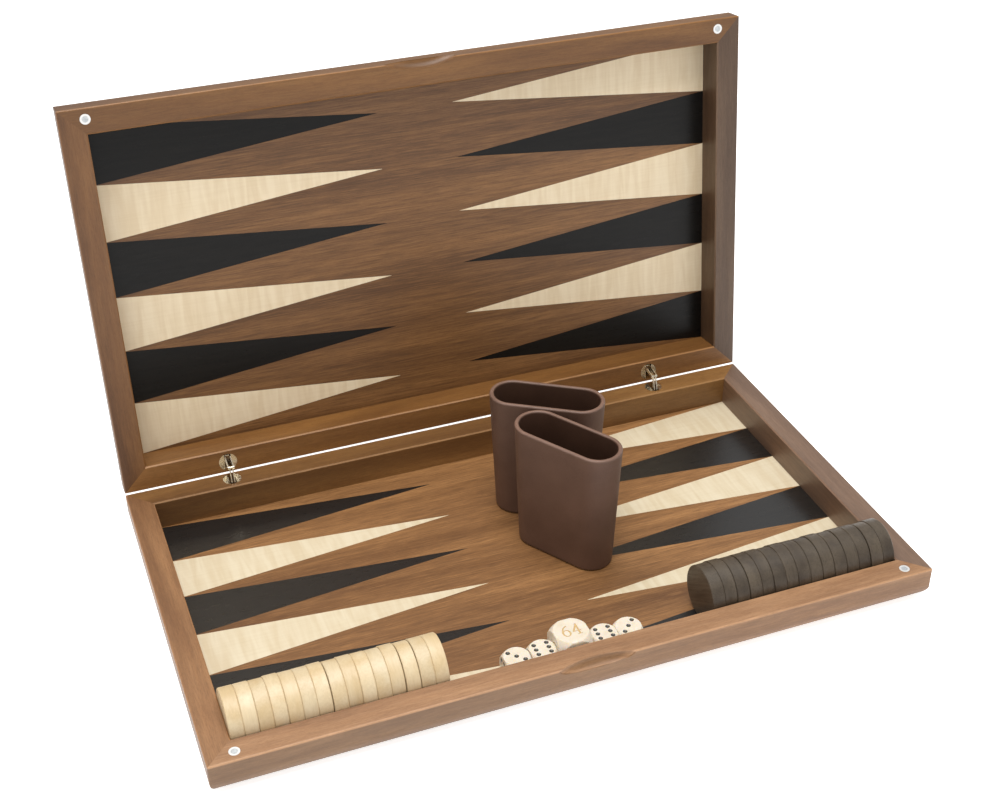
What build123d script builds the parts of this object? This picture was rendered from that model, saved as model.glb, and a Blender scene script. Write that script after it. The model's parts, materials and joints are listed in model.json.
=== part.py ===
"""Backgammon set: a hinged walnut case standing open, with its checkers, dice, doubling cube and dice cups.

Millimetres. The origin is the centre of the tray's underside, +X to the right, +Y towards the hinges, +Z up.
"""
import os
from math import atan2, cos, degrees, dist, radians, sin, sqrt

from build123d import *

os.makedirs("parts", exist_ok=True)

# Case: two equal halves, the tray flat on the table and the lid leaning back from it
case_length = 460.0
case_depth = 262.2
half_height = 24.0
rail_width = 16.6
recess_depth = 21.0
veneer = 0.6
rebate = 3.0
bottom_round = 12.0
rim_round = 0.9
inner_rim_chamfer = 0.8
corner_round = 1.2
lid_angle = 97.6
hinge_gap = 0.2
closed_gap = 0.3

# Playing surface: six points at each end of each half
points_per_end = 6
point_length = 187.5

# Finger notch in the middle of each long outer edge
notch_half_chord = 25.0
notch_depth = 5.0

# Magnets let into the rims
magnet_radius = 3.25
magnet_length = 3.0
magnet_from_end = 16.6
magnet_from_side = 6.95

# Barrel hinges
hinge_x = 158.8
barrel_radius = 6.2
barrel_length = 13.0
barrel_inset = 7.6
barrel_proud = 0.1
barrel_slot_width = 4.6
barrel_slot_depth = 11.0
set_screw_radius = 1.1
set_screw_offset = 4.3
set_screw_length = 3.3
set_screw_sunk = 0.3
set_screw_drive = 0.4
set_screw_bore = 4.0
fit_gap = 0.05
arm_pin_radius = 0.6
arm_pin_half = 3.4
arm_pivot_inset = 11.8
arm_pivot_depth = 2.4
arm_thickness = 0.75
arm_half_width = 1.1
tray_arm_x = 1.0
lid_arm_x = 1.8
middle_pin_radius = 0.8
middle_pin_half = 1.375
middle_radius = 12.0

# Checkers, standing on edge in two rows of fifteen
checkers_per_side = 15
checker_radius = 18.0
checker_thickness = 8.42
checker_edge = 0.4
light_row_length = 128.28
dark_row_length = 128.6
wide_seam = 0.45
light_wide_seams = (7, 12, 13)
dark_wide_seams = (2, 4, 6, 12)
row_end_gap = 0.12
checker_wall_gap = 0.3
checker_sway = 0.4
floor_gap = 0.05

# Dice and doubling cube
die_size = 16.0
die_ball = 0.70
pip_offset = 4.07
pip_radius = 1.5
pip_depth = 0.45
cube_size = 22.0
cube_edge_round = 1.2
cube_ball = 0.70
numeral_height = 9.4
numeral_width = 5.4
numeral_gap = 1.1
numeral_depth = 0.35
stroke = 1.1
dice_places = [(-40.7, -105.1), (-23.9, -104.4), (15.9, -104.8), (32.1, -104.6)]
cube_place = (-4.75, -102.0)

# Dice cups: oval, a little wider at the rim than at the foot
cup_height = 89.3
cup_top_half = (38.4, 15.6)
cup_foot_half = (34.2, 14.4)
cup_wall = 3.0
cup_floor = 3.5
cup_rim_round = 1.2
cup_foot_round = 2.0
front_cup = (34.5, -2.3, -58.0)
rear_cup = (39.6, 44.3, -33.0)

half_length = case_length / 2
half_depth = case_depth / 2
inner_x = half_length - rail_width
inner_y = half_depth - rail_width
floor_z = half_height - recess_depth
hinge_y = half_depth + hinge_gap
hinge_z = half_height + closed_gap / 2
point_width = 2 * inner_y / points_per_end


def save(shape, name):
    """Writes one node as a STEP file."""
    shape.label = name
    export_step(shape, f"parts/{name}.step")


def lid_place(shape):
    """Takes a piece of a half as the tray has it to its place in the leaning lid."""
    turned = Pos(0, 2 * hinge_y, 0) * mirror(shape, about=Plane.XZ)
    lean = Pos(0, hinge_y, hinge_z) * Rot(180 - lid_angle, 0, 0) * Pos(0, -hinge_y, -hinge_z)
    return lean * turned


def ring_of(pieces):
    """Several loose solids as one node."""
    return Compound(children=list(pieces))


# Case rails


def rail_section():
    """A rail's cross-section: x in from the outer face, y up from the underside."""
    low = bottom_round
    arc_low = sin(radians(45)) * low
    arc_top = sin(radians(45)) * rim_round
    outline = [
        Line((low, 0), (rail_width - rebate, 0)),
        Line((rail_width - rebate, 0), (rail_width - rebate, floor_z - veneer)),
        Line((rail_width - rebate, floor_z - veneer), (rail_width, floor_z - veneer)),
        Line((rail_width, floor_z - veneer), (rail_width, half_height - inner_rim_chamfer)),
        Line((rail_width, half_height - inner_rim_chamfer), (rail_width - inner_rim_chamfer, half_height)),
        Line((rail_width - inner_rim_chamfer, half_height), (rim_round, half_height)),
        ThreePointArc(
            (rim_round, half_height),
            (rim_round - arc_top, half_height - rim_round + arc_top),
            (0, half_height - rim_round),
        ),
        Line((0, half_height - rim_round), (0, low)),
        ThreePointArc((0, low), (low - arc_low, low - arc_low), (low, 0)),
    ]
    return make_face(Wire(outline))


def straight_rail(length):
    """A rail along X with its outer face at Y 0 and its body towards +Y, before its mitres are cut."""
    lying = Plane(origin=(-length / 2, 0, 0), x_dir=(0, 1, 0), z_dir=(1, 0, 0))
    return extrude(lying * rail_section(), amount=length)


def mitre_wedge(long_side):
    """The plan of one rail: as long as its side outside, and a rail's width less at each end inside."""
    half = long_side / 2
    plan = Polygon(
        (-half, 0), (half, 0), (half - rail_width, rail_width), (-half + rail_width, rail_width), align=None
    )
    return extrude(plan, amount=half_height)


def rounded_plan():
    """The case's outline in plan, with its corners eased."""
    return extrude(RectangleRounded(case_length, case_depth, corner_round), amount=half_height)


def notch_ring():
    """The ring that scoops the finger notch out of a rail's outer rim edge, as deep down as it is in."""
    reach = (notch_half_chord**2 + notch_depth**2) / (2 * notch_depth)
    return Pos(0, notch_depth - half_depth - reach, half_height) * Torus(reach - notch_depth, notch_depth)


def hinge_hole(x):
    """The hole for one hinge barrel in the back rail."""
    deep = barrel_length + 2 * fit_gap
    place = Pos(x, half_depth - barrel_inset, half_height - deep)
    return place * Cylinder(barrel_radius + fit_gap, deep + 1, align=(Align.CENTER, Align.CENTER, Align.MIN))


def magnet_at(x, grow=0.0):
    """A magnet in the front rail, or the hole for it when grown."""
    length = magnet_length + grow
    place = Pos(x, -half_depth + magnet_from_side, half_height - length)
    top = grow * 2
    return place * Cylinder(magnet_radius + grow, length + top, align=(Align.CENTER, Align.CENTER, Align.MIN))


def rails():
    """The four mitred rails of a half, by name."""
    plan = rounded_plan()
    long_rail = straight_rail(case_length) & mitre_wedge(case_length)
    short_rail = straight_rail(case_depth) & mitre_wedge(case_depth)
    front = (Pos(0, -half_depth, 0) * long_rail) & plan
    back = (Pos(0, half_depth, 0) * Rot(0, 0, 180) * long_rail) & plan
    left = (Pos(-half_length, 0, 0) * Rot(0, 0, -90) * short_rail) & plan
    right = (Pos(half_length, 0, 0) * Rot(0, 0, 90) * short_rail) & plan
    front -= notch_ring()
    for side in (-1, 1):
        front -= magnet_at(side * (half_length - magnet_from_end), fit_gap)
        back -= hinge_hole(side * hinge_x)
    return {"rail_front": front, "rail_back": back, "rail_left": left, "rail_right": right}


# Playing surface


def point_triangle(side, row):
    """One point: its base on an end wall, its tip towards the middle. Row 0 is at the hinges."""
    back = inner_y - row * point_width
    base = side * inner_x
    tip = side * (inner_x - point_length)
    plan = Polygon((base, back), (tip, back - point_width / 2), (base, back - point_width), align=None)
    return Pos(0, 0, floor_z - veneer) * extrude(plan, amount=veneer, dir=(0, 0, 1))


def points(first_dark_row):
    """The dark and the light points of a half. On the left, dark starts at the given row."""
    dark = []
    light = []
    for side in (-1, 1):
        for row in range(points_per_end):
            is_dark = (row + first_dark_row + (side > 0)) % 2 == 0
            (dark if is_dark else light).append(point_triangle(side, row))
    return ring_of(dark), ring_of(light)


def field():
    """The walnut ground between the points, one sheet with zigzag ends."""
    outline = [(-inner_x, inner_y), (inner_x, inner_y)]
    for row in range(points_per_end):
        outline.append((inner_x - point_length, inner_y - (row + 0.5) * point_width))
        outline.append((inner_x, inner_y - (row + 1) * point_width))
    outline.append((-inner_x, -inner_y))
    for row in reversed(range(points_per_end)):
        outline.append((-inner_x + point_length, inner_y - (row + 0.5) * point_width))
        if row:
            outline.append((-inner_x, inner_y - row * point_width))
    return Pos(0, 0, floor_z - veneer) * extrude(Polygon(*outline, align=None), amount=veneer, dir=(0, 0, 1))


def base_board():
    """The board under the playing surface, let into the rails from below."""
    board = Box(
        2 * (inner_x + rebate), 2 * (inner_y + rebate), floor_z - veneer,
        align=(Align.CENTER, Align.CENTER, Align.MIN),
    )
    return board


# Hinges


def arm_outline(reach):
    """A hinge arm seen from the side, from its barrel pivot at the origin up to its free end."""
    bar = Pos(0, reach / 2) * Rectangle(2 * arm_half_width, reach)
    eye = Pos(0, reach) * Circle(arm_half_width)
    foot = Circle(arm_half_width) - Circle(arm_pin_radius + fit_gap)
    return (bar - Circle(arm_half_width)) + eye + foot


def barrel(x):
    """One hinge barrel with its slot, its arm pin across the slot, and two set screws in its face."""
    body = Cylinder(barrel_radius, barrel_length, align=(Align.CENTER, Align.CENTER, Align.MAX))
    slot = Box(
        barrel_slot_width, 2 * barrel_radius, barrel_slot_depth,
        align=(Align.CENTER, Align.CENTER, Align.MAX),
    )
    body -= slot
    pin_y = barrel_inset - (arm_pivot_inset - hinge_gap)
    pin = Rot(0, 90, 0) * Cylinder(arm_pin_radius, 2 * arm_pin_half)
    body += Pos(0, pin_y, -arm_pivot_depth) * pin
    screws = []
    for side in (-1, 1):
        seat = Pos(side * set_screw_offset, 0, 0)
        bore = Cylinder(set_screw_radius, set_screw_bore, align=(Align.CENTER, Align.CENTER, Align.MAX))
        body -= seat * bore
        shank = Cylinder(
            set_screw_radius - fit_gap, set_screw_length, align=(Align.CENTER, Align.CENTER, Align.MAX)
        )
        drive = Box(2 * set_screw_radius, set_screw_drive, 2 * set_screw_drive)
        screws.append(seat * Pos(0, 0, -set_screw_sunk) * (shank - drive))
    place = Pos(x, half_depth - barrel_inset, half_height - barrel_proud)
    return [place * piece for piece in [body, *screws]]


def barrels():
    """Both barrels of a half."""
    return ring_of(barrel(-hinge_x) + barrel(hinge_x))


def arm_pair(offset):
    """The two thin arms of one hinge half, pivot at the origin, standing up along Z."""
    plate = extrude(Plane.YZ * arm_outline(arm_reach()), amount=arm_thickness, dir=(1, 0, 0))
    if offset == tray_arm_x:
        hole = Rot(0, 90, 0) * Cylinder(middle_pin_radius, 4 * arm_thickness)
        plate -= Pos(0, 0, arm_reach()) * hole
    return [Pos(side * offset - arm_thickness / 2, 0, 0) * plate for side in (-1, 1)]


def arm_pivot():
    """An arm's pivot in the tray, as Y and Z from the hinge line."""
    return -arm_pivot_inset, half_height - barrel_proud - arm_pivot_depth - hinge_z


def middle_point():
    """Where the tray's and the lid's arms meet, midway between the halves, as Y and Z from the hinge line."""
    half = radians(lid_angle / 2)
    return -cos(half) * middle_radius, sin(half) * middle_radius


def arm_reach():
    """The distance from an arm's pivot to the middle pin."""
    return dist(arm_pivot(), middle_point())


def arm_place(x):
    """The place of a hinge's arms in the tray, leaning in from their pivot to the middle pin."""
    pivot_y, pivot_z = arm_pivot()
    middle_y, middle_z = middle_point()
    lean = degrees(atan2(pivot_y - middle_y, middle_z - pivot_z))
    return Pos(x, hinge_y + pivot_y, hinge_z + pivot_z) * Rot(lean, 0, 0)


def arms(offset):
    """Both hinges' arms in the tray."""
    return ring_of(arm_place(x) * plate for x in (-hinge_x, hinge_x) for plate in arm_pair(offset))


def middle_pins():
    """The pins through the tray arms' free ends, where the lid's arms meet them."""
    pin = Pos(0, 0, arm_reach()) * Rot(0, 90, 0) * Cylinder(middle_pin_radius, 2 * middle_pin_half)
    return ring_of(arm_place(x) * pin for x in (-hinge_x, hinge_x))


# Loose pieces


def checker(x, y):
    """A checker standing on edge, its axis along X, with its left face at x."""
    disc = Cylinder(checker_radius, checker_thickness, align=(Align.CENTER, Align.CENTER, Align.MIN))
    disc = chamfer(disc.edges().filter_by(GeomType.CIRCLE), checker_edge)
    return Pos(x, y, floor_z + floor_gap + checker_radius) * Rot(0, 90, 0) * disc


def row_y(index, phase):
    """The rows aren't perfectly straight: each checker stands a little off the next."""
    sway = checker_sway * (1 + sin(2.4 * index + phase))
    return -inner_y + checker_radius + checker_wall_gap + sway


def row_offsets(length, wide_seams):
    """How far along its row each checker starts. Some seams stand a little open, the rest share what is left."""
    seams = checkers_per_side - 1
    spare = length - checkers_per_side * checker_thickness - len(wide_seams) * wide_seam
    narrow_seam = spare / (seams - len(wide_seams))
    offsets = [0.0]
    for number in range(1, seams + 1):
        seam = wide_seam if number in wide_seams else narrow_seam
        offsets.append(offsets[-1] + checker_thickness + seam)
    return offsets


def save_checkers():
    """Light checkers run in from the left wall, and dark ones in from the right wall."""
    for index, offset in enumerate(row_offsets(light_row_length, light_wide_seams)):
        light_x = -inner_x + row_end_gap + offset
        save(checker(light_x, row_y(index, 0.4)), f"light_checker_{index + 1:02d}")
    for index, offset in enumerate(row_offsets(dark_row_length, dark_wide_seams)):
        dark_x = inner_x - row_end_gap - checker_thickness - offset
        save(checker(dark_x, row_y(index, 1.9)), f"dark_checker_{index + 1:02d}")


PIPS = {
    1: [(0, 0)],
    2: [(-1, -1), (1, 1)],
    3: [(-1, 1), (0, 0), (1, -1)],
    4: [(-1, -1), (-1, 1), (1, -1), (1, 1)],
    5: [(-1, -1), (-1, 1), (0, 0), (1, -1), (1, 1)],
    6: [(-1, -1), (-1, 0), (-1, 1), (1, -1), (1, 0), (1, 1)],
}


def face_turns():
    """The turn that takes the top face to each face: top, bottom, front, back, left, right."""
    return [
        Rot(0, 0, 0), Rot(180, 0, 0), Rot(90, 0, 0), Rot(-90, 0, 0), Rot(0, -90, 0), Rot(0, 90, 0),
    ]


def die(top):
    """A die with the given number on top. Opposite faces add up to seven."""
    body = Box(die_size, die_size, die_size) & Sphere(die_ball * die_size)
    order = {6: [6, 1, 2, 5, 4, 3], 3: [3, 4, 2, 5, 6, 1]}[top]
    cap = (pip_radius**2 + pip_depth**2) / (2 * pip_depth)
    cuts = []
    for turn, number in zip(face_turns(), order):
        for across, along in PIPS[number]:
            spot = Pos(across * pip_offset, along * pip_offset, die_size / 2 + cap - pip_depth)
            cuts.append(turn * spot * Sphere(cap))
    return body - cuts


def loop(x_radius, y_radius):
    """An oval stroke of a numeral, thinner at its top and bottom."""
    return Ellipse(x_radius, y_radius) - Ellipse(x_radius - stroke, y_radius - stroke / 2)


def window(low_x, high_x, low_y, high_y):
    """A rectangle between two corners, to keep part of a stroke."""
    place = Pos((low_x + high_x) / 2, (low_y + high_y) / 2)
    return place * Rectangle(high_x - low_x, high_y - low_y)


def numeral(digit):
    """One numeral drawn with plain strokes, centred on the origin."""
    half_w = numeral_width / 2
    half_h = numeral_height / 2
    thin = stroke / 2
    if digit == "1":
        flag = Polygon((0, half_h), (0, half_h - stroke), (-half_w / 2, half_h - 2 * stroke), align=None)
        foot = Pos(0, -half_h + thin / 2) * Rectangle(half_w * 1.4, thin)
        return Rectangle(stroke, numeral_height) + flag + foot
    if digit == "2":
        top = half_h * 0.56
        bow = Pos(0, half_h - top) * loop(half_w, top)
        kept = bow & (window(-half_w, half_w, half_h - top, half_h) + window(0, half_w, 0, half_h))
        slope = Polygon(
            (half_w, 0), (half_w * 0.45, -thin), (-half_w, -half_h), (-half_w + stroke, -half_h), align=None
        )
        foot = Pos(0, -half_h + thin) * Rectangle(numeral_width, stroke)
        return kept + slope + foot
    if digit == "3":
        upper = Pos(-thin, half_h * 0.48) * loop(half_w * 0.9, half_h * 0.52)
        lower = Pos(-thin, -half_h * 0.45) * loop(half_w, half_h * 0.55)
        return (upper + lower) - window(-numeral_width, -half_w * 0.35, -half_h * 0.55, half_h * 0.6)
    if digit == "4":
        stem_x = half_w * 0.4
        bar_y = -half_h * 0.35
        slope = Polygon(
            (stem_x, half_h), (stem_x, half_h - 2 * stroke), (-half_w + stroke, bar_y), (-half_w, bar_y),
            align=None,
        )
        stem = Pos(stem_x, 0) * Rectangle(stroke, numeral_height)
        bar = Pos(0, bar_y) * Rectangle(numeral_width, thin)
        foot = Pos(stem_x, -half_h + thin / 2) * Rectangle(2.4 * stroke, thin)
        return slope + stem + bar + foot
    if digit == "6":
        bowl_y = -half_h * 0.38
        bowl = Pos(0, bowl_y) * loop(half_w, half_h + bowl_y)
        sweep = Pos(half_w, bowl_y) * loop(numeral_width, half_h - bowl_y)
        return bowl + (sweep & window(-half_w, half_w * 0.7, bowl_y, half_h))
    upper = Pos(0, half_h * 0.5) * loop(half_w * 0.85, half_h * 0.5)
    lower = Pos(0, -half_h * 0.44) * loop(half_w, half_h * 0.56)
    return upper + lower


def doubling_cube():
    """The doubling cube, with 64 up and a number on each other face."""
    block = Box(cube_size, cube_size, cube_size)
    body = fillet(block.edges(), cube_edge_round) & Sphere(cube_ball * cube_size)
    pitch = numeral_width + numeral_gap
    for turn, number in zip(face_turns(), ["64", "2", "4", "8", "16", "32"]):
        start = -pitch * (len(number) - 1) / 2
        for order, digit in enumerate(number):
            spot = Pos(start + order * pitch, 0, cube_size / 2 - numeral_depth)
            body -= turn * spot * extrude(numeral(digit), amount=2 * numeral_depth, dir=(0, 0, 1))
    return body


def oval(half, shrink=0.0):
    """The cups' plan: straight sides with half-round ends."""
    long_half = half[0] - shrink
    short_half = half[1] - shrink
    return SlotOverall(2 * long_half, 2 * short_half)


def cup():
    """A dice cup standing at the origin, its long way along X."""
    outer = loft([oval(cup_foot_half), Pos(0, 0, cup_height) * oval(cup_top_half)])
    foot_edges = outer.edges().group_by(Axis.Z)[0]
    outer = fillet(foot_edges, cup_foot_round)
    inside = loft([
        Pos(0, 0, cup_floor) * oval(cup_foot_half, cup_wall),
        Pos(0, 0, cup_height + 1) * oval(cup_top_half, cup_wall),
    ])
    shell = outer - inside
    rim_edges = shell.edges().group_by(Axis.Z)[-1]
    return fillet(rim_edges, cup_rim_round)


def at_floor(shape, x, y, turn=0.0, rise=0.0):
    """Stands a loose piece on the tray's playing surface."""
    return Pos(x, y, floor_z + floor_gap + rise) * Rot(0, 0, turn) * shape


def save_half(prefix, place, first_dark_row):
    """Every node of one half of the case."""
    for name, rail in rails().items():
        save(place(rail), f"{prefix}_{name}")
    save(place(base_board()), f"{prefix}_base_board")
    save(place(field()), f"{prefix}_field")
    dark, light = points(first_dark_row)
    save(place(dark), f"{prefix}_dark_points")
    save(place(light), f"{prefix}_light_points")
    magnets = [magnet_at(side * (half_length - magnet_from_end)) for side in (-1, 1)]
    save(place(ring_of(magnets)), f"{prefix}_magnets")
    save(place(barrels()), f"{prefix}_hinge_barrels")


def save_loose_pieces():
    """Checkers, dice, doubling cube and cups."""
    save_checkers()
    six = die(6)
    three = die(3)
    dice = [three, six, six, Rot(0, 0, 90) * three]
    for number, (shape, (x, y)) in enumerate(zip(dice, dice_places), start=1):
        save(at_floor(shape, x, y, rise=die_size / 2), f"die_{number}")
    save(at_floor(doubling_cube(), *cube_place, rise=cube_size / 2), "doubling_cube")
    one_cup = cup()
    for name, (x, y, turn) in {"cup_front": front_cup, "cup_rear": rear_cup}.items():
        save(at_floor(one_cup, x, y, turn), name)


save_half("tray", lambda shape: shape, 0)
save_half("lid", lid_place, 1)
save(arms(tray_arm_x), "tray_hinge_arms")
save(lid_place(arms(lid_arm_x)), "lid_hinge_arms")
save(middle_pins(), "hinge_middle_pins")
save_loose_pieces()
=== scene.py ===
"""Looks, light and camera for the backgammon set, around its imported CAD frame."""
import json
from math import cos, pi, radians, sin

import bpy
from mathutils import Matrix, Vector


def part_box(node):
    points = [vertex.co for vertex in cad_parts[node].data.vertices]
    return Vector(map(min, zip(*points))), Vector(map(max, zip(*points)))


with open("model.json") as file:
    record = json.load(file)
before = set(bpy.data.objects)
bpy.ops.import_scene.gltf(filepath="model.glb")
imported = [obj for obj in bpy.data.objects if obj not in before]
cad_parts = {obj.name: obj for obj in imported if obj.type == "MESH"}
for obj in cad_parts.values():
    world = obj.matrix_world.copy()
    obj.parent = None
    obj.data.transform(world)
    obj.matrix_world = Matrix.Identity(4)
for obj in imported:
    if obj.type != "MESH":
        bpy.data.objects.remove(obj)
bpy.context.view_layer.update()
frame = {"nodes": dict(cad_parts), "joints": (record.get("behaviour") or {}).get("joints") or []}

MM = 0.001

# Case, in metres: the lid's hinge and lean, the outer half sizes, and the magnets' radius
hinge = next(joint for joint in frame["joints"] if joint["name"] == "lid_hinge")
HINGE = Vector(hinge["pos_m"])
LID_LEAN = radians(hinge["range_deg"][1])
HALF_LENGTH = -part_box("tray_rail_left")[0].x
HALF_DEPTH = -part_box("tray_rail_front")[0].y
MAGNET_RADIUS = 0.00325

# Rails, in mm in their own frames: the rim's height, their thickness, the round along the case's
# bottom edges, and a depth from the outer face that holds the whole of a finger notch
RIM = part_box("tray_rail_left")[1].z / MM
RAIL_WIDTH = (HALF_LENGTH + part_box("tray_rail_left")[1].x) / MM
BOTTOM_ROUND = 12.0
NOTCH_REACH = 6.0

# Magnets, in mm: where the duller middle gives way to the ring
MAGNET_RING_RADII = 1.7, 2.3

# Dice cups, in mm: half sizes of their ovals, long way first, and the heights above a cup's
# middle between which the paler rim comes in
CUP_HEIGHT = 89.3
CUP_TOP_HALF = 38.4, 15.6
CUP_FOOT_HALF = 34.2, 14.4
CUP_WALL = 3.0
CUP_PALE_RIM_BAND = 43.6, 44.6

# How far the cups' ovals are turned, in degrees
CUP_TURNS = {"cup_front": -58, "cup_rear": -33}

# Dice and doubling cube, in mm: their size, the ball that cuts their corners, the cube's edge
# round, and how far below the skin a painted mark has to be
DIE_SIZE = 16.0
DIE_BALL = 0.70 * DIE_SIZE
CUBE_SIZE = 22.0
CUBE_BALL = 0.70 * CUBE_SIZE
CUBE_ROUND = 1.2
PIP_MARGIN = 0.04
NUMERAL_MARGIN = 0.12


# Node trees


class Shader:
    """One material's node tree, built up a node at a time."""

    def __init__(self, name):
        self.material = bpy.data.materials.new(name)
        self.material.use_nodes = True
        self.tree = self.material.node_tree
        self.surface = self.tree.nodes["Principled BSDF"]

    def put(self, socket, value):
        """Links a socket to another, or gives it a fixed value."""
        if isinstance(value, bpy.types.NodeSocket):
            self.tree.links.new(value, socket)
        else:
            socket.default_value = value

    def add(self, kind, inputs=None, **settings):
        """A new node, with its inputs linked or set by name or number."""
        node = self.tree.nodes.new("ShaderNode" + kind)
        for key, value in settings.items():
            setattr(node, key, value)
        for key, value in (inputs or {}).items():
            self.put(node.inputs[key], value)
        return node

    def local(self, place):
        """Coordinates in mm in a piece's own frame, given that frame's place in the scene."""
        where = self.add("TexCoord").outputs["Object"]
        mapping = self.add("Mapping", {"Vector": where}, vector_type="TEXTURE")
        mapping.inputs["Location"].default_value = place.to_translation()
        mapping.inputs["Rotation"].default_value = place.to_euler()
        mapping.inputs["Scale"].default_value = (MM, MM, MM)
        return mapping.outputs[0]

    def stretch(self, where, scale, shift=(0, 0, 0)):
        """Scaled and shifted coordinates, which change a pattern's size and move it."""
        mapping = self.add("Mapping", {"Vector": where})
        mapping.inputs["Scale"].default_value = scale
        mapping.inputs["Location"].default_value = shift
        return mapping.outputs[0]

    def own(self, where, seed, steps, scale=(1, 1, 1)):
        """Coordinates moved by the seed's number of steps, so that no two pieces look the same."""
        return self.stretch(where, scale, [step * seed for step in steps])

    def vector(self, operation, first, second=(0, 0, 0)):
        """One vector Math node."""
        return self.add("VectorMath", {0: first, 1: second}, operation=operation)

    def length(self, vector):
        return self.vector("LENGTH", vector).outputs["Value"]

    def radius(self, x, y):
        """How far a point is from the Z axis."""
        return self.length(self.add("CombineXYZ", {"X": x, "Y": y}).outputs[0])

    def noise(self, where, scale, detail=2.0, roughness=0.5, distortion=0.0):
        node = self.add("TexNoise", {
            "Vector": where, "Scale": scale, "Detail": detail, "Roughness": roughness,
            "Distortion": distortion,
        })
        return node.outputs[0]

    def marks(self, where, length, scale, detail=2.0, roughness=0.5, distortion=0.0, across=False):
        """Noise drawn out along X, or along Y where across, to marks of that length to width."""
        drawn = (1, 1 / length, 1) if across else (1 / length, 1, 1)
        return self.noise(self.stretch(where, drawn), scale, detail, roughness, distortion)

    def span(self, value, low, high, to_low=0.0, to_high=1.0):
        """Maps a value's span onto another, held at its ends."""
        node = self.add("MapRange", {
            "Value": value, "From Min": low, "From Max": high, "To Min": to_low, "To Max": to_high,
        })
        return node.outputs[0]

    def math(self, operation, first, second=0.0):
        """One Math node's result."""
        return self.add("Math", {0: first, 1: second}, operation=operation).outputs[0]

    def times(self, first, second):
        return self.math("MULTIPLY", first, second)

    def mix(self, factor, first, second, blend="MIX"):
        """Two colours, mixed or blended by a factor."""
        node = self.add("Mix", data_type="RGBA", blend_type=blend)
        self.put(node.inputs[0], factor)
        for socket, value in ((node.inputs[6], first), (node.inputs[7], second)):
            self.put(socket, value if isinstance(value, bpy.types.NodeSocket) else (*value, 1.0))
        return node.outputs[2]

    def shade(self, factor, colour, shade):
        """A colour multiplied by a shade, as far as a factor says."""
        return self.mix(factor, colour, shade, "MULTIPLY")

    def split(self, where):
        return self.add("SeparateXYZ", {"Vector": where}).outputs

    def bump(self, height, strength, distance):
        node = self.add("Bump", {"Height": height, "Strength": strength, "Distance": distance})
        self.put(self.surface.inputs["Normal"], node.outputs[0])

    def finish(self, **inputs):
        """Sets the surface's own sockets, named with underscores, and gives the material."""
        for key, value in inputs.items():
            socket = self.surface.inputs[key.replace("_", " ")]
            if not isinstance(value, bpy.types.NodeSocket) and socket.type == "RGBA":
                value = (*value, 1.0)
            self.put(socket, value)
        return self.material


def rgb(red, green, blue):
    """A colour in 0 to 255 as the linear values that a shader takes."""
    def linear(level):
        share = level / 255
        return share / 12.92 if share <= 0.04045 else ((share + 0.055) / 1.055) ** 2.4
    return linear(red), linear(green), linear(blue)


def scaled(colour, factor):
    return tuple(channel * factor for channel in colour)


def tinted(colours, tint):
    """Colours with each of their channels scaled by its own share."""
    return [tuple(channel * share for channel, share in zip(colour, tint)) for colour in colours]


# Colours: most are the two ends between which a material's tone wanders

WALNUT = rgb(122, 85, 55), rgb(168, 126, 88)
FIELD_WALNUT = rgb(112, 76, 44), rgb(168, 124, 81)
BACK_WALNUT = rgb(96, 64, 40), rgb(138, 98, 64)
BLACK_DYE = rgb(16, 14, 12), rgb(23, 20, 17)
MAPLE = rgb(218, 198, 163), rgb(227, 210, 178)
LIGHT_WOOD = rgb(207, 182, 140), rgb(217, 198, 163)
LIGHT_PORE = rgb(205, 165, 112)
DARK_WOOD = rgb(66, 56, 45), rgb(90, 79, 65)
DARK_PORE = rgb(30, 25, 19)
IVORY = rgb(213, 201, 181), rgb(222, 212, 196)
# Colour of a faint painted glow on the ivory
IVORY_PAINTED_GLOW = (1.0, 0.86, 0.62)
PIP_PAINT = rgb(20, 18, 17)
NUMERAL_PAINT = rgb(200, 168, 112)
CUP_BROWN = rgb(89, 64, 51), rgb(101, 74, 60)
CUP_PALE_RIM = rgb(128, 98, 82)
NICKEL = rgb(226, 215, 190), rgb(246, 238, 220)
MAGNET_MIDDLE = rgb(178, 182, 184), rgb(204, 207, 208)
MAGNET_RING = rgb(232, 231, 228)

# Shades that multiply a colour
# Lighter rim edges: partly wear, partly painted highlight
RIM_WEAR_AND_HIGHLIGHT_TINT = (1.5, 1.5, 1.6)
SPECK_SHADE = (0.8, 0.78, 0.74)
# Painted shade on the wall of the finger notch
PAINTED_NOTCH_SHADE = (0.7, 0.68, 0.6)
BLACK_LINE_SHADE = (0.8, 0.8, 0.8)
MAPLE_LINE_SHADE = (0.97, 0.96, 0.94)
CHECKER_LINE_SHADE = (0.8, 0.77, 0.71)
CUP_FLECK_SHADE = (0.88, 0.86, 0.85)
# Painted shade inside the cups
CUP_INSIDE_PAINTED_SHADE = (0.62, 0.54, 0.46)

# The painted shade on a rail's outer face: its green and blue against its red
OUTER_SHADE_GREEN, OUTER_SHADE_BLUE = 0.97, 0.84


# Places of the case's pieces


def lid_matrix():
    """The lid's own frame, as it would lie flat behind the tray, in the row frame."""
    turn = Matrix.Rotation(LID_LEAN, 4, "X")
    lean = Matrix.Translation(HINGE) @ turn @ Matrix.Translation(-HINGE)
    return lean @ Matrix.Translation((0, 2 * HINGE.y, 0))


def rail_place(half, side):
    """A rail's frame: X along it, Y in from its outer face, Z up from its underside."""
    x, y, turn = {
        "front": (0, -HALF_DEPTH, 0),
        "back": (0, HALF_DEPTH, pi),
        "left": (-HALF_LENGTH, 0, -pi / 2),
        "right": (HALF_LENGTH, 0, pi / 2),
    }[side]
    own = Matrix.Translation((x, y, 0)) @ Matrix.Rotation(turn, 4, "Z")
    return lid_matrix() @ own if half == "lid" else own


def half_place(half):
    return lid_matrix() if half == "lid" else Matrix.Identity(4)


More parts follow.
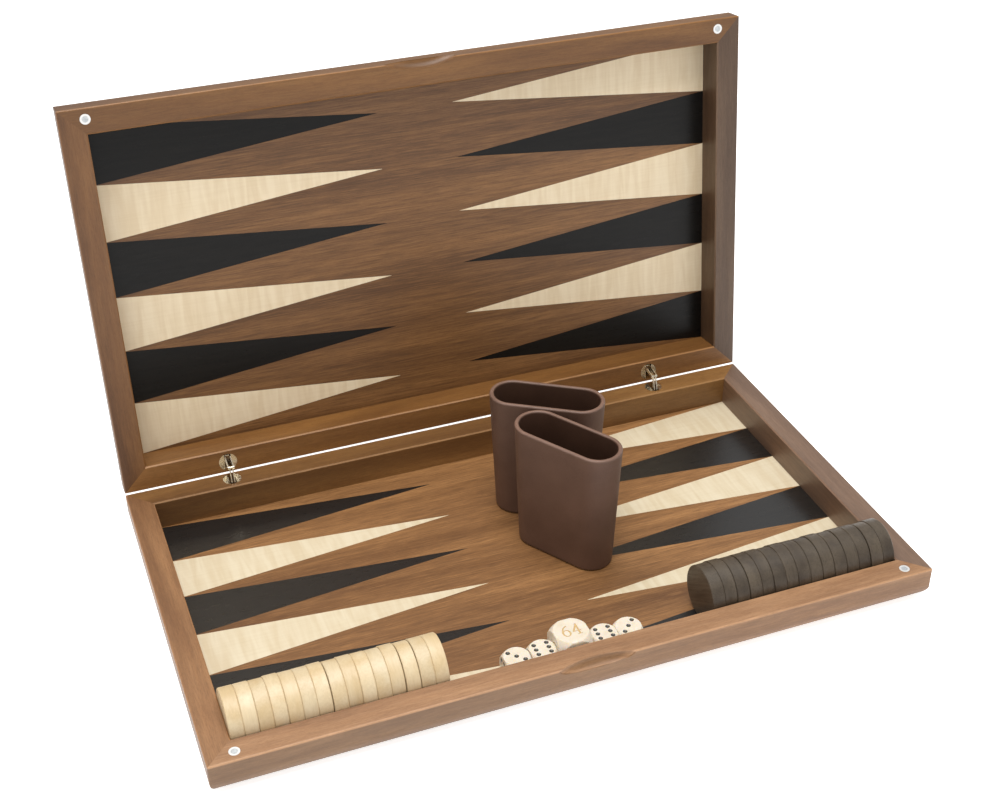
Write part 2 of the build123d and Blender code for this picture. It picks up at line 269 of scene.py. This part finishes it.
def paint(node, material):
    """Gives a CAD node one material on every slot."""
    mesh_object = frame["nodes"][node]
    if not mesh_object.material_slots:
        mesh_object.data.materials.append(material)
    for slot in mesh_object.material_slots:
        slot.link = "OBJECT"
        slot.material = material


# Woods


def grain(shader, where, seed, length=1.0):
    """Walnut's figure, along X: its broad tone, growth streaks, growth lines and short pores."""
    shifted = shader.own(where, seed, (97.0, 31.0, 53.0), (1 / length, 1, 1))
    tone = shader.marks(shifted, 9, 0.045, 3.0, 0.55, 0.5)
    streak = shader.marks(shifted, 14, 0.34, 4.0, 0.65, 0.3)
    line = shader.marks(shifted, 14, 1.2, 5.0, 0.7)
    pore = shader.marks(shifted, 12, 1.5, 2.0, 0.6)
    return tone, streak, line, pore


def walnut(
    name, place, seed, dark, light, contrast, length=1.0, wear_and_highlight=0.0, polish=0.5, painted_outer_shade=None
):
    """Oiled walnut with its grain along the frame's X; rim wear and painted highlight, and painted
    outer shade, are for rails.
    """
    shader = Shader(name)
    where = shader.local(place)
    tone, streak, line, pore = grain(shader, where, seed, length)
    base = shader.mix(shader.span(tone, 0.3, 0.7), dark, light)
    mid = 1.0 - 0.14 * contrast
    base = shader.shade(shader.span(streak, 0.38, 0.6), base, (mid, mid * 0.96, mid * 0.91))
    low = 1.0 - 0.16 * contrast
    base = shader.shade(shader.span(line, 0.4, 0.62), base, (low, low * 0.97, low * 0.93))
    flecks = shader.span(pore, 0.5, 0.68)
    base = shader.mix(shader.times(flecks, 0.4 * contrast), base, scaled(dark, 0.6))
    glints = shader.span(pore, 0.46, 0.32)
    base = shader.mix(shader.times(glints, 0.2 * contrast), base, scaled(light, 1.2))
    if painted_outer_shade:
        base = paint_outer_shade(shader, where, base, painted_outer_shade)
    if wear_and_highlight:
        base = rim_wear_and_highlight(shader, where, base, light, wear_and_highlight)
    fine = shader.marks(where, 5, 2.4, 2.0, 0.6)
    base = shader.shade(shader.span(fine, 0.5, 0.7, 0.0, 0.8), base, SPECK_SHADE)
    rough = shader.span(line, 0.3, 0.7, 0.4, 0.52)
    height = shader.math("SUBTRACT", shader.times(line, 0.35), shader.times(flecks, 0.5))
    shader.bump(height, 0.22, 0.0001)
    return shader.finish(Base_Color=base, Roughness=rough, Specular_IOR_Level=polish)


def paint_outer_shade(shader, where, base, painted_outer_shade):
    """Painted shade on a rail's outer face, and more painted shade on the wall of its finger notch.
    """
    x, inward, up = shader.split(where)
    outer = shader.span(inward, 0.3, 0.6, 1.0, 0.0)
    low = shader.times(
        shader.span(up, BOTTOM_ROUND - 1.0, BOTTOM_ROUND, 1.0, 0.0),
        shader.span(inward, BOTTOM_ROUND, BOTTOM_ROUND + 2.0, 1.0, 0.0),
    )
    outer = shader.math("MAXIMUM", outer, low)
    half = HALF_LENGTH / MM
    shade = shader.span(x, -0.5 * half, 0.6 * half, *painted_outer_shade)
    off_rim = shader.span(up, RIM - 1.0, RIM - 0.3, 1.0, 0.0)
    green, blue = shader.times(shade, OUTER_SHADE_GREEN), shader.times(shade, OUTER_SHADE_BLUE)
    face = shader.add("CombineColor", {"Red": shade, "Green": green, "Blue": blue}).outputs[0]
    # Painted shade on the outer face, below the rim
    base = shader.shade(shader.times(outer, off_rim), base, face)
    # More painted shade on the finger notch's wall, a recess
    past_skin = shader.span(inward, 0.8, 2.6)
    in_notch = shader.span(inward, NOTCH_REACH, NOTCH_REACH + 0.2, 1.0, 0.0)
    wall = shader.times(shader.times(past_skin, in_notch), off_rim)
    return shader.shade(wall, base, PAINTED_NOTCH_SHADE)


def rim_wear_and_highlight(shader, where, base, light, wear_and_highlight):
    """Lighter eased edges on a rail's rim: partly wear from handling, partly a painted highlight.
    """
    _, inward, up = shader.split(where)
    near_top = shader.span(up, RIM - 1.4, RIM - 0.7)
    near_out = shader.span(inward, 0.3, 1.1, 1.0, 0.0)
    near_in = shader.span(inward, RAIL_WIDTH - 1.0, RAIL_WIDTH - 0.6)
    edge = shader.times(near_top, shader.math("MAXIMUM", near_out, near_in))
    patchy = shader.marks(where, 6, 0.5, 2.0, 0.6)
    worn_and_lit = shader.times(edge, shader.span(patchy, 0.3, 0.65, 0.6, 1.0))
    # Partly wear, partly a painted highlight where the edges catch the light
    return shader.mix(shader.times(worn_and_lit, wear_and_highlight), base, tinted([light], RIM_WEAR_AND_HIGHLIGHT_TINT)[0])


def dyed_veneer(name, place, seed, painted_light_share, polish):
    """Black-dyed veneer with its grain just showing, scaled by a share that paints light and shade
    on it.
    """
    shader = Shader(name)
    where = shader.local(place)
    _, streak, line, pore = grain(shader, where, seed)
    # Lit and shaded copies of one black: painted light and shade
    base = shader.mix(shader.span(streak, 0.35, 0.65), *tinted(BLACK_DYE, (painted_light_share,) * 3))
    base = shader.shade(shader.span(line, 0.4, 0.65), base, BLACK_LINE_SHADE)
    flecks = shader.span(pore, 0.58, 0.7)
    shader.bump(shader.math("SUBTRACT", line, flecks), 0.16, 0.00006)
    rough = shader.span(line, 0.3, 0.7, 0.26, 0.34)
    return shader.finish(Base_Color=base, Roughness=rough, Specular_IOR_Level=polish)


def maple_veneer(name, place, seed, tint):
    """Pale maple with faint flame figure: narrow bands that run across the grain."""
    shader = Shader(name)
    where = shader.local(place)
    shifted = shader.own(where, seed, (61.0, 23.0, 0.0))
    flame = shader.marks(shifted, 9, 0.2, 2.0, 0.55, 0.5, across=True)
    line = shader.marks(shifted, 30, 0.8, 3.0, 0.6)
    base = shader.mix(shader.span(flame, 0.36, 0.64), *tinted(MAPLE, tint))
    base = shader.shade(shader.span(line, 0.4, 0.66), base, MAPLE_LINE_SHADE)
    shader.bump(line, 0.1, 0.00005)
    return shader.finish(Base_Color=base, Roughness=shader.span(flame, 0.3, 0.7, 0.42, 0.5))


def checker_wood(name, place, seed, tones, pore_colour, line_strength, pore_strength):
    """Turned wood, its grain along the frame's Y, which stays flat in the disc."""
    shader = Shader(name)
    where = shader.local(place)
    shifted = shader.own(where, seed, (17.0, 41.0, 29.0))
    tone = shader.marks(shifted, 6, 0.07, 2.0, 0.5, 0.4, across=True)
    line = shader.marks(shifted, 22, 0.85, 3.0, 0.6, 0.2, across=True)
    pore = shader.marks(shifted, 8, 1.9, 1.0, across=True)
    base = shader.mix(shader.span(tone, 0.34, 0.66), *tones)
    base = shader.shade(shader.span(line, 0.4, 0.66, 0.0, line_strength), base, CHECKER_LINE_SHADE)
    flecks = shader.span(pore, 0.58, 0.7)
    base = shader.mix(shader.times(flecks, pore_strength), base, pore_colour)
    shader.bump(shader.math("SUBTRACT", line, flecks), 0.22, 0.0001)
    return shader.finish(Base_Color=base, Roughness=shader.span(line, 0.3, 0.7, 0.36, 0.48))


# Metal, plastic and the cups


def nickel():
    """Plated metal with fine turning marks and a slight haze."""
    shader = Shader("nickel_plate")
    where = shader.local(Matrix.Identity(4))
    haze = shader.noise(where, 0.35, 3.0, 0.6)
    marks = shader.noise(shader.stretch(where, (1, 1, 14)), 1.1, 2.0)
    base = shader.mix(shader.span(haze, 0.35, 0.65), *NICKEL)
    shader.bump(marks, 0.08, 0.00004)
    rough = shader.span(haze, 0.3, 0.7, 0.2, 0.32)
    return shader.finish(Base_Color=base, Metallic=1.0, Roughness=rough)


def magnet_plate(half):
    """Bright plated discs with a greyer middle inside a brighter ring."""
    shader = Shader(f"{half}_magnet_plate")
    where = shader.local(half_place(half))
    x, y, _ = shader.split(where)
    _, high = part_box("tray_magnets")
    centre_x = (high.x - MAGNET_RADIUS) / MM
    centre_y = (high.y - MAGNET_RADIUS) / MM * (1 if half == "tray" else -1)
    along = shader.math("SUBTRACT", shader.math("ABSOLUTE", x), centre_x)
    across = shader.math("SUBTRACT", y, centre_y)
    haze = shader.noise(where, 0.9, 3.0, 0.6)
    middle = shader.mix(shader.span(haze, 0.35, 0.65), *MAGNET_MIDDLE)
    in_ring = shader.span(shader.radius(along, across), *MAGNET_RING_RADII)
    base = shader.mix(in_ring, middle, MAGNET_RING)
    rough = shader.span(haze, 0.3, 0.7, 0.36, 0.5)
    return shader.finish(Base_Color=base, Metallic=0.6, Roughness=rough)


def pip_mask(shader, where):
    """1 inside a die's pips, 0 on its skin, which is a cube rounded off by a ball."""
    x, y, z = [shader.math("ABSOLUTE", side) for side in shader.split(where)]
    reach = shader.math("MAXIMUM", shader.math("MAXIMUM", x, y), z)
    away = shader.length(where)
    below_face = shader.math("LESS_THAN", reach, DIE_SIZE / 2 - PIP_MARGIN)
    below_ball = shader.math("LESS_THAN", away, DIE_BALL - PIP_MARGIN)
    return shader.times(below_face, below_ball)


def numeral_mask(shader, where):
    """1 inside the doubling cube's numerals, 0 on its skin: an eased cube cut by a ball."""
    far = shader.vector("ABSOLUTE", where).outputs[0]
    core = (CUBE_SIZE / 2 - CUBE_ROUND,) * 3
    beyond = shader.vector("SUBTRACT", far, core).outputs[0]
    beyond = shader.vector("MAXIMUM", beyond).outputs[0]
    below_face = shader.math("LESS_THAN", shader.length(beyond), CUBE_ROUND - NUMERAL_MARGIN)
    below_ball = shader.math("LESS_THAN", shader.length(where), CUBE_BALL - NUMERAL_MARGIN)
    return shader.times(below_face, below_ball)


def ivory(name, centre, mask_of, paint_colour, seed):
    """Ivory plastic, with paint in what is engraved into it and a faint painted glow that lifts its
    shaded faces.
    """
    shader = Shader(name)
    where = shader.local(Matrix.Translation(centre))
    mask = mask_of(shader, where)
    shifted = shader.own(where, seed, (13.0, 7.0, 0.0))
    cloud = shader.noise(shifted, 0.14, 3.0, 0.5)
    base = shader.mix(shader.span(cloud, 0.3, 0.7), *IVORY)
    colour = shader.mix(mask, base, paint_colour)
    skin = shader.noise(shifted, 2.4, 2.0)
    shader.bump(skin, 0.05, 0.00005)
    rough = shader.math("ADD", shader.span(cloud, 0.3, 0.7, 0.2, 0.3), shader.times(mask, 0.12))
    # The faint warm emission is painted light that lifts the ivory's shaded faces
    return shader.finish(
        Base_Color=colour, Roughness=rough, Subsurface_Weight=0.5, Subsurface_Scale=0.004,
        Subsurface_Radius=(1.0, 0.7, 0.4), Emission_Color=IVORY_PAINTED_GLOW, Emission_Strength=0.06,
    )


def inside_cup(shader, where):
    """1 on a cup's inside, 0 on its outside: the cup is a tapered oval with half-round ends."""
    x, y, z = shader.split(where)
    height = CUP_HEIGHT / 2
    round_half = shader.span(z, -height, height, CUP_FOOT_HALF[1], CUP_TOP_HALF[1])
    straight = shader.span(
        z, -height, height, CUP_FOOT_HALF[0] - CUP_FOOT_HALF[1], CUP_TOP_HALF[0] - CUP_TOP_HALF[1]
    )
    along = shader.math("SUBTRACT", shader.math("ABSOLUTE", x), straight)
    along = shader.math("MAXIMUM", along, 0.0)
    in_from_skin = shader.math("SUBTRACT", round_half, shader.radius(along, y))
    return shader.span(in_from_skin, CUP_WALL - 0.6, CUP_WALL - 0.2)


def cup_plastic(name, place, seed):
    """Brown moulded cup with a fine grained skin, paler at its rim, and darker inside as painted
    shade.
    """
    shader = Shader(name)
    where = shader.local(place)
    shifted = shader.own(where, seed, (19.0, 11.0, 0.0))
    cloud = shader.noise(shifted, 0.045, 3.0, 0.55)
    cells = shader.add("TexVoronoi", {"Vector": shifted, "Scale": 1.15}, feature="SMOOTH_F1")
    skin = cells.outputs[0]
    fine = shader.noise(shifted, 1.9, 2.0)
    base = shader.mix(shader.span(cloud, 0.3, 0.7), *CUP_BROWN)
    base = shader.shade(shader.span(fine, 0.4, 0.66, 0.0, 0.5), base, CUP_FLECK_SHADE)
    height = shader.math("ADD", shader.times(skin, 0.5), shader.times(fine, 0.5))
    shader.bump(height, 0.22, 0.00015)
    at_rim = shader.span(shader.split(where)[2], *CUP_PALE_RIM_BAND)
    pale_rim = shader.times(at_rim, shader.span(cloud, 0.3, 0.6, 0.4, 0.8))
    base = shader.mix(pale_rim, base, CUP_PALE_RIM)
    # Painted shade inside the cup, a recess
    base = shader.shade(inside_cup(shader, where), base, CUP_INSIDE_PAINTED_SHADE)
    return shader.finish(Base_Color=base, Roughness=shader.span(fine, 0.3, 0.7, 0.46, 0.58))


def centre_of(node):
    low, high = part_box(node)
    return (low + high) / 2


# Case: how each piece's colour differs from the plain colours, as shares of red, green and blue;
# partly the wood's own tone, partly painted light and shade

# Painted shade darkens the rails in shade, such as the tray's back and the lid's rails, and a
# greyer painted sheen lies on the tray's right rail
RAIL_TONES_AND_PAINTED_LIGHT = {
    "tray_front": (1.22, 1.28, 1.38),
    "tray_back": (0.8, 0.76, 0.5),
    "tray_left": (0.93, 0.9, 0.84),
    "tray_right": (0.6, 0.66, 0.84),
    "lid_front": (0.58, 0.5, 0.29),
    "lid_back": (0.86, 0.76, 0.44),
    "lid_left": (0.53, 0.45, 0.3),
    "lid_right": (0.36, 0.4, 0.48),
}
# The tray's field is lighter as painted light, the lid's darker partly as painted shade
FIELD_TONES_AND_PAINTED_LIGHT = {"tray": (1.12, 1.09, 0.98), "lid": (0.72, 0.66, 0.51)}
# The lid's maple is painted lighter than the tray's, as painted light
MAPLE_TONES_AND_PAINTED_LIGHT = {"tray": (0.93, 0.96, 1.0), "lid": (1.05, 1.05, 1.07)}

# The black veneer's share of painted light and shade, lighter on the tray and darker on the lid,
# and its polish
BLACK_PAINTED_LIGHT_AND_POLISH = {"tray": (1.05, 1.0), "lid": (0.8, 0.2)}

# Rails: their polish, and the painted shade on their outer faces' left and right parts
PLAIN_POLISH = 0.5
POLISH = {"tray_right": 1.0}
PLAIN_PAINTED_OUTER_SHADE = 0.8, 0.8
PAINTED_OUTER_SHADES = {"tray_front": (0.5, 0.84)}
# How strongly the rims' wear and painted highlight show
RIM_WEAR_AND_HIGHLIGHT = 0.5

# How strongly walnut's figure shows, and how many times longer than a rail's it is on broad boards
RAIL_CONTRAST = 0.6
FIELD_CONTRAST = 1.3
BACK_CONTRAST = 0.9
BOARD_LENGTH = 2.0


def dress_case():
    """Every piece of the two halves."""
    for number, half in enumerate(("tray", "lid")):
        for order, side in enumerate(("front", "back", "left", "right")):
            # The lid's rails are named for the closed case, which turns its front and back around.
            swapped = {"front": "back", "back": "front"} if half == "lid" else {}
            place = rail_place(half, swapped.get(side, side))
            rail = f"{half}_{side}"
            paint(f"{half}_rail_{side}", walnut(
                f"{rail}_walnut", place, 1 + 4 * number + order,
                *tinted(WALNUT, RAIL_TONES_AND_PAINTED_LIGHT[rail]), RAIL_CONTRAST, wear_and_highlight=RIM_WEAR_AND_HIGHLIGHT,
                polish=POLISH.get(rail, PLAIN_POLISH),
                painted_outer_shade=PAINTED_OUTER_SHADES.get(rail, PLAIN_PAINTED_OUTER_SHADE),
            ))
        place = half_place(half)
        paint(f"{half}_field", walnut(
            f"{half}_field_walnut", place, 11 + number,
            *tinted(FIELD_WALNUT, FIELD_TONES_AND_PAINTED_LIGHT[half]), FIELD_CONTRAST, BOARD_LENGTH
        ))
        paint(f"{half}_base_board", walnut(
            f"{half}_back_walnut", place, 21 + number, *BACK_WALNUT, BACK_CONTRAST, BOARD_LENGTH
        ))
        paint(f"{half}_dark_points", dyed_veneer(
            f"{half}_black_veneer", place, 31 + number, *BLACK_PAINTED_LIGHT_AND_POLISH[half]
        ))
        paint(f"{half}_light_points", maple_veneer(
            f"{half}_maple_veneer", place, 41 + number, MAPLE_TONES_AND_PAINTED_LIGHT[half]
        ))


def dress_metal():
    metal = nickel()
    for node in (
        "tray_hinge_barrels", "lid_hinge_barrels", "tray_hinge_arms", "lid_hinge_arms",
        "hinge_middle_pins",
    ):
        paint(node, metal)
    for half in ("tray", "lid"):
        paint(f"{half}_magnets", magnet_plate(half))


# First seed, turn in radians and brightness wander from one checker to the next, how fast that
# wander goes, tones, pore colour, and how strongly lines and pores show
CHECKERS = {
    "light": (51, 0.9, 0.035, 2.3, LIGHT_WOOD, LIGHT_PORE, 0.35, 0.1),
    "dark": (71, 1.3, 0.06, 1.9, DARK_WOOD, DARK_PORE, 1.0, 0.45),
}


def dress_checkers():
    """Thirty checkers, each with its own grain, turn and brightness."""
    for index in range(15):
        for kind, (seed, turn, wander, rate, tones, *marks) in CHECKERS.items():
            name = f"{kind}_checker_{index + 1:02d}"
            place = Matrix.Translation(centre_of(name)) @ Matrix.Rotation(turn * index, 4, "X")
            shade = 1.0 + wander * sin(rate * index)
            paint(name, checker_wood(
                f"{kind}_wood_{index + 1:02d}", place, seed + index,
                [scaled(tone, shade) for tone in tones], *marks
            ))


def dress_dice():
    for number in range(1, 5):
        name = f"die_{number}"
        paint(name, ivory(f"ivory_{number}", centre_of(name), pip_mask, PIP_PAINT, number))
    paint("doubling_cube", ivory(
        "ivory_cube", centre_of("doubling_cube"), numeral_mask, NUMERAL_PAINT, 9
    ))


def dress_cups():
    for seed, (name, turn) in enumerate(CUP_TURNS.items(), start=1):
        place = Matrix.Translation(centre_of(name)) @ Matrix.Rotation(radians(turn), 4, "Z")
        paint(name, cup_plastic(f"{name}_brown", place, seed))


# Floor, light and camera

FLOOR_SIZE = 14
FLOOR_SHADES = 0.9, 0.93
FLOOR_GLOW = 0.72
WORLD_STRENGTH = 0.55
WHITE = (1.0, 1.0, 1.0)

# Lamps: place and target in metres, size along both sides in metres, power in watts
LAMPS = {
    "overhead": ((-0.1, 0.0, 1.6), (0, 0, 0), (1.3, 0.9), 26),
    "front_left": ((-1.3, -1.4, 0.9), (0, 0, 0.08), (1.2, 0.9), 1.5),
}

# Camera: place in metres, angles in radians with yaw to the right of straight back and pitch
# below level, and lens and sensor width in mm
CAMERA_PLACE = (-0.2878, -0.72625, 0.63886)
CAMERA_YAW = 0.3649
CAMERA_PITCH = 0.5813
CAMERA_ROLL = -0.0042
CAMERA_LENS = 54.913
SENSOR_WIDTH = 36


def set_floor():
    """A plain white floor, a little self-lit so that shadows on it stay pale."""
    bpy.ops.mesh.primitive_plane_add(size=FLOOR_SIZE, location=(0, 0, 0))
    floor = bpy.context.object
    floor.name = "floor"
    shader = Shader("floor_white")
    shade = shader.noise(shader.local(Matrix.Identity(4)), 0.004, 2.0)
    shade = shader.span(shade, 0.3, 0.7, *FLOOR_SHADES)
    colour = shader.add("CombineColor", {"Red": shade, "Green": shade, "Blue": shade}).outputs[0]
    floor.data.materials.append(shader.finish(
        Base_Color=colour, Roughness=0.8, Emission_Color=WHITE, Emission_Strength=FLOOR_GLOW
    ))


def soft_light(name, place, target, size, power):
    """A rectangular lamp that faces its target."""
    light = bpy.data.lights.new(name, "AREA")
    light.shape = "RECTANGLE"
    light.size, light.size_y = size
    light.energy = power
    lamp = bpy.data.objects.new(name, light)
    lamp.location = place
    lamp.rotation_euler = (Vector(target) - Vector(place)).to_track_quat("-Z", "Y").to_euler()
    bpy.context.scene.collection.objects.link(lamp)


def set_lights():
    """Even white surroundings with two lamps."""
    world = bpy.data.worlds.new("studio")
    bpy.context.scene.world = world
    world.use_nodes = True
    background = world.node_tree.nodes["Background"]
    background.inputs["Color"].default_value = (*WHITE, 1.0)
    background.inputs["Strength"].default_value = WORLD_STRENGTH
    for name, settings in LAMPS.items():
        soft_light(name, *settings)


def set_camera():
    """The three-quarter view from the front left, looking down."""
    forward = Vector((
        sin(CAMERA_YAW) * cos(CAMERA_PITCH), cos(CAMERA_YAW) * cos(CAMERA_PITCH), -sin(CAMERA_PITCH)
    ))
    right = forward.cross(Vector((0, 0, 1))).normalized()
    up = right.cross(forward)
    rolled_right = cos(CAMERA_ROLL) * right + sin(CAMERA_ROLL) * up
    rolled_up = cos(CAMERA_ROLL) * up - sin(CAMERA_ROLL) * right
    turn = Matrix((rolled_right, rolled_up, -forward)).transposed()
    camera_data = bpy.data.cameras.new("camera")
    camera_data.sensor_width = SENSOR_WIDTH
    camera_data.lens = CAMERA_LENS
    camera = bpy.data.objects.new("camera", camera_data)
    camera.matrix_world = Matrix.Translation(CAMERA_PLACE) @ turn.to_4x4()
    bpy.context.scene.collection.objects.link(camera)
    bpy.context.scene.camera = camera


dress_case()
dress_metal()
dress_checkers()
dress_dice()
dress_cups()
set_floor()
set_lights()
set_camera()
bpy.context.scene.view_settings.view_transform = "Standard"
